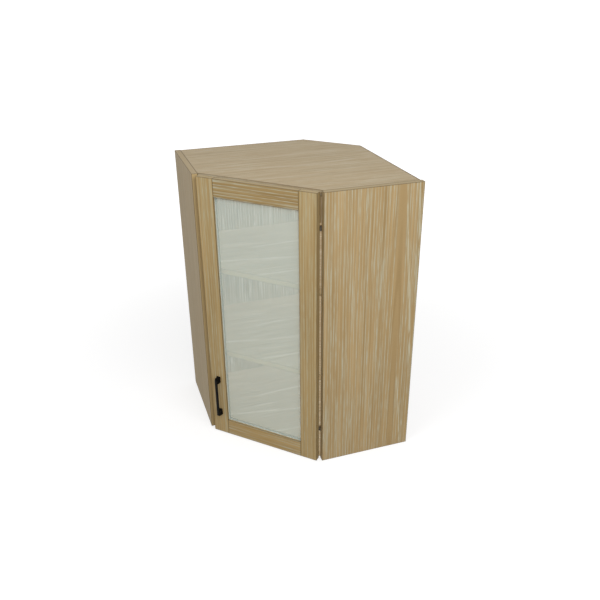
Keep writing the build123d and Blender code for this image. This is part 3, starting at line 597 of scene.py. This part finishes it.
FLOOR_HALF = 50.0            # half its side
FLOOR_DROP = 0.001           # how far it lies below the cabinet's underside
FLOOR_GREY = (0.45, 0.45, 0.45, 1.0)
WHITE = (1.0, 1.0, 1.0, 1.0)
GLOW = 0.65                  # the glow's strength up to NEAR metres from the middle
MORE_GLOW = 0.25             # what is added to it from there to FAR metres
NEAR = 0.6
FAR = 2.4
floor_mesh = bpy.data.meshes.new("floor")
floor_mesh.from_pydata(
    [(x * FLOOR_HALF, y * FLOOR_HALF, -FLOOR_DROP) for x, y in ((-1, -1), (1, -1), (1, 1), (-1, 1))],
    [], [(0, 1, 2, 3)])
floor = bpy.data.objects.new("floor", floor_mesh)
bpy.context.scene.collection.objects.link(floor)


def seen_rays(finish):
    """1 for rays that show a thing itself: from the camera, in a reflection or through glass."""
    camera, glossy, through = (finish.node("ShaderNodeLightPath", {}, {}, out) for out in (0, 3, 6))
    return camera | glossy | through


def pale_floor():
    """Matt grey with a glow for the seen rays alone. The glow rises smoothly with the distance from the
    middle."""
    finish = new_finish("pale_floor")
    matt = finish.principled(Base_Color=FLOOR_GREY, Roughness=0.9, Specular_IOR_Level=0.0)
    away = finish.node("ShaderNodeVectorMath", {"operation": "LENGTH"}, {0: finish.place()}, 1)
    strength = seen_rays(finish) * (GLOW + MORE_GLOW * finish.fade(away, NEAR, FAR))
    glow = finish.node("ShaderNodeEmission", {}, {"Color": WHITE, "Strength": strength})
    return finish.end(finish.node("ShaderNodeAddShader", {}, {0: matt, 1: glow}))


floor_mesh.materials.append(pale_floor())


# Studio: an even sky that looks white and lights at a plain level, and two soft lamps, above the camera and
# beside it. The boards behind the pane get even light of their own, and the two lamps leave them out.

SKY_LEVEL = 0.55
world = bpy.data.worlds.new("studio")
bpy.context.scene.world = world
sky = Finish(world)
sky_strength = SKY_LEVEL + (1 - SKY_LEVEL) * seen_rays(sky)
sky.end(sky.node("ShaderNodeBackground", {}, {"Color": WHITE, "Strength": sky_strength}),
        "ShaderNodeOutputWorld")


def new_lamp(name, kind, strength, toward):
    """A lamp that shines from the side that toward points to."""
    light = bpy.data.lights.new(name, kind)
    light.energy = strength
    lamp = bpy.data.objects.new(name, light)
    bpy.context.scene.collection.objects.link(lamp)
    lamp.rotation_mode = "QUATERNION"
    lamp.rotation_quaternion = Vector(toward).to_track_quat("Z", "Y")
    return lamp


def soft_lamp(name, at, aim, size, watts):
    """A lamp with a flat square face of size metres, standing at one point and turned to another."""
    lamp = new_lamp(name, "AREA", watts, Vector(at) - Vector(aim))
    lamp.location = at
    lamp.data.size = size
    lamp.visible_camera = False
    lamp.visible_transmission = False
    return lamp


def reached(name, pieces, state):
    """A list of pieces that a lamp reaches (INCLUDE) or leaves out (EXCLUDE)."""
    collection = bpy.data.collections.new(name)
    for piece in pieces:
        collection.objects.link(piece)
    for entry in collection.collection_objects:
        entry.light_linking.link_state = state
    return collection


def even_light(name, toward, spread, strength, pieces, blockers=()):
    """Light on a few pieces alone, from a far source that is spread degrees wide. Only the floor and the
    blockers stand in its way."""
    lamp = new_lamp(name, "SUN", strength, toward)
    lamp.data.angle = math.radians(spread)
    lamp.light_linking.receiver_collection = reached(name + "_pieces", pieces, "INCLUDE")
    lamp.light_linking.blocker_collection = reached(name + "_blocker", [floor, *blockers], "INCLUDE")


FROM_ABOVE = (-0.34, -0.34, 0.88)
FROM_THE_FRONT = (-0.70, -0.70, -0.15)
boards = [nodes["shelf_1"], nodes["shelf_2"], nodes["bottom_panel"]]
walls = [nodes["back_panel_left"], nodes["back_panel_right"]]
across_corner = [nodes["back_panel_corner"]]
key = soft_lamp("key", at=(0.38, -2.4, 2.2), aim=(0.0, 0.0, 0.45), size=2.0, watts=42.0)
near_fill = soft_lamp("near_fill", at=(-1.0, -0.9, 1.7), aim=(-0.15, -0.15, 0.6), size=0.6, watts=6.0)
even_light("on_shelves", FROM_ABOVE, spread=20.0, strength=2.65, pieces=boards)
even_light("on_backs", FROM_THE_FRONT, spread=50.0, strength=7.4, pieces=walls, blockers=boards)
even_light("on_corner", FROM_ABOVE, spread=20.0, strength=1.5, pieces=across_corner)
behind_pane = boards + walls + across_corner
for lamp in (key, near_fill):
    lamp.light_linking.receiver_collection = reached(lamp.name + "_outside", behind_pane, "EXCLUDE")


# Camera: it stands where the photograph was taken from, found by fitting a pinhole camera to the cabinet's
# straight edges, and looks down at the door with a slight roll.

EYE = Vector((-0.61133, -1.92690, 1.44424))
AIM = Vector((0.02914, 0.0, 0.43660))
LENS = 40.65                 # millimetres, as is the sensor's width
SENSOR = 36.0
ROLL = -0.0095               # radians
backward = (EYE - AIM).normalized()
level_x = Vector(ALONG_Z).cross(backward).normalized()
level_y = backward.cross(level_x)
right = level_x * math.cos(ROLL) + level_y * math.sin(ROLL)
up = level_y * math.cos(ROLL) - level_x * math.sin(ROLL)
camera_data = bpy.data.cameras.new("camera")
camera_data.lens = LENS
camera_data.sensor_width = SENSOR
camera = bpy.data.objects.new("camera", camera_data)
bpy.context.scene.collection.objects.link(camera)
camera.matrix_world = Matrix((right, up, backward)).transposed().to_4x4()
camera.location = EYE
bpy.context.scene.camera = camera
bpy.context.scene.view_settings.view_transform = "Standard"
